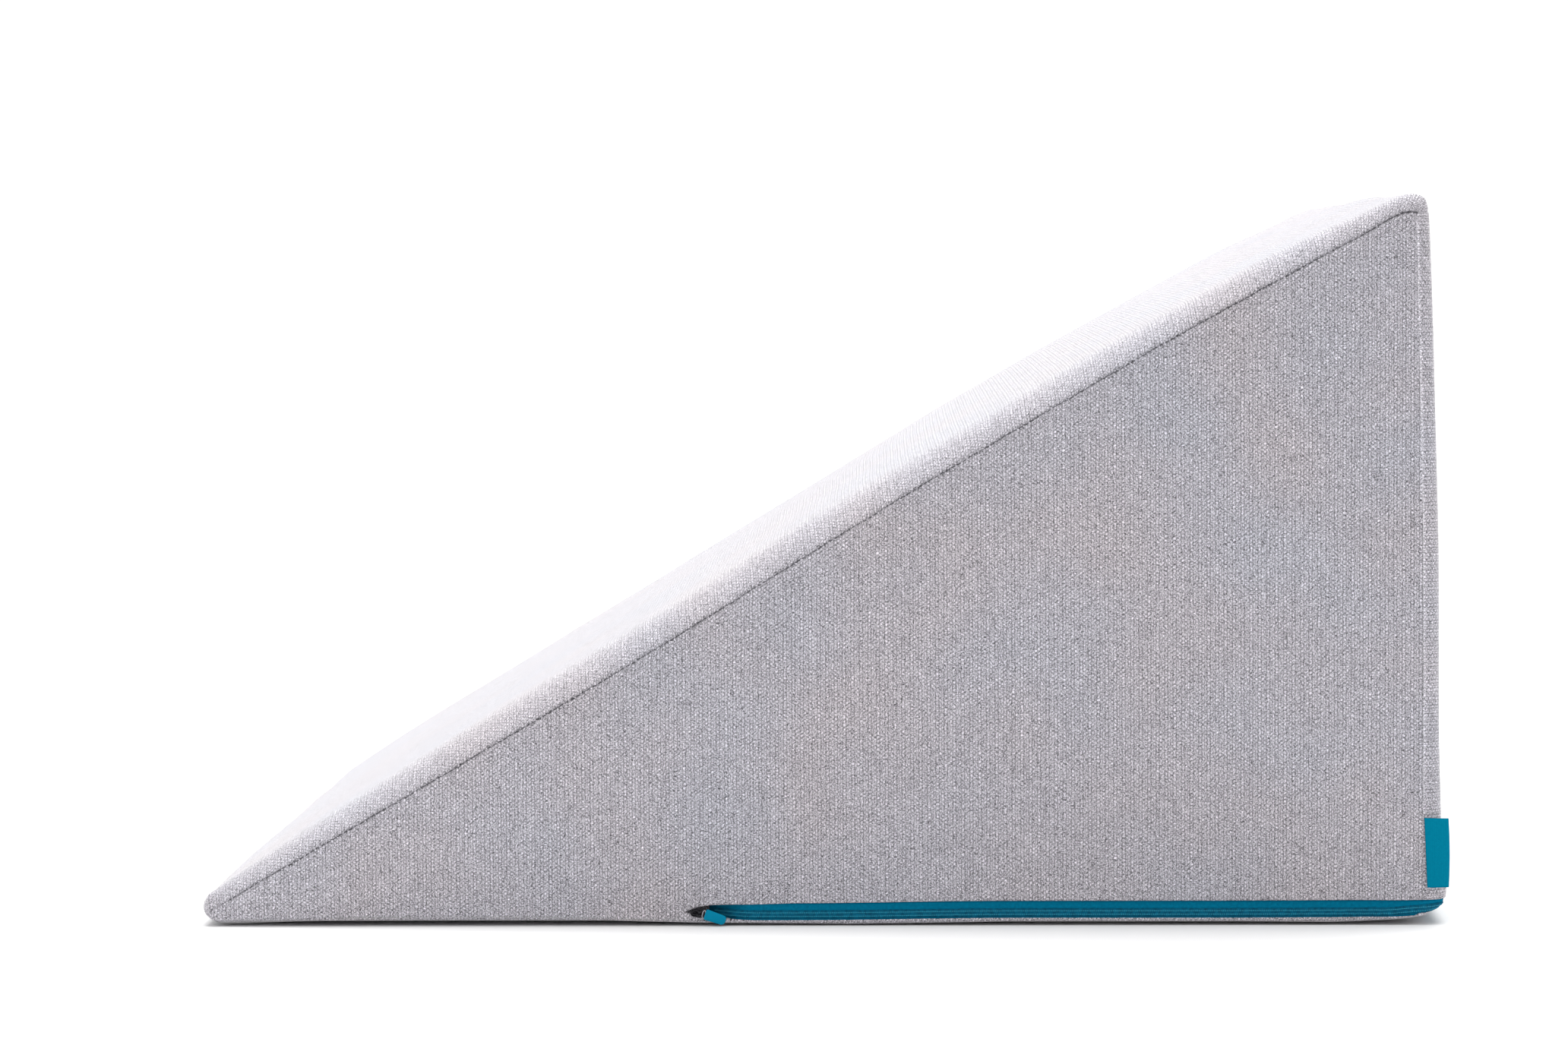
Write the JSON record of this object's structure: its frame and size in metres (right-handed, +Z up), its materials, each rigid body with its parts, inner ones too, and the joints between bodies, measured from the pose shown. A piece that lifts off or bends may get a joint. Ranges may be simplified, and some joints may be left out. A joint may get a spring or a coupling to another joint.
{
  "type": "wedge pillow",
  "caption": "Foam wedge pillow in a sewn woven cover with seamed edges, a coil zip round its foot and a bare woven tab in the back seam.",
  "frame": {"origin": "middle of the footprint's box, on the surface that the base rests on", "axes": "+Z up, +X from the thin edge towards the tall back, -Y towards the side that holds the zip's slider"},
  "size_m": [0.602, 0.5998, 0.35],
  "materials": {
    "cover": "matt plain weave, marled grey",
    "zip_tape": "matt woven teal tape",
    "zip_coil": "satin nylon coil",
    "slider": "dark gunmetal, satin",
    "pull": "moulded teal rubber, satin",
    "label": "fine satin weave, teal"
  },
  "bodies": {
    "root": {"cushion": "cover", "zip_tape_upper": "zip_tape", "zip_tape_lower": "zip_tape", "zip_coil": "zip_coil", "zip_slider": "slider", "zip_pull": "pull", "label": "label"}
  },
  "joints": []
}
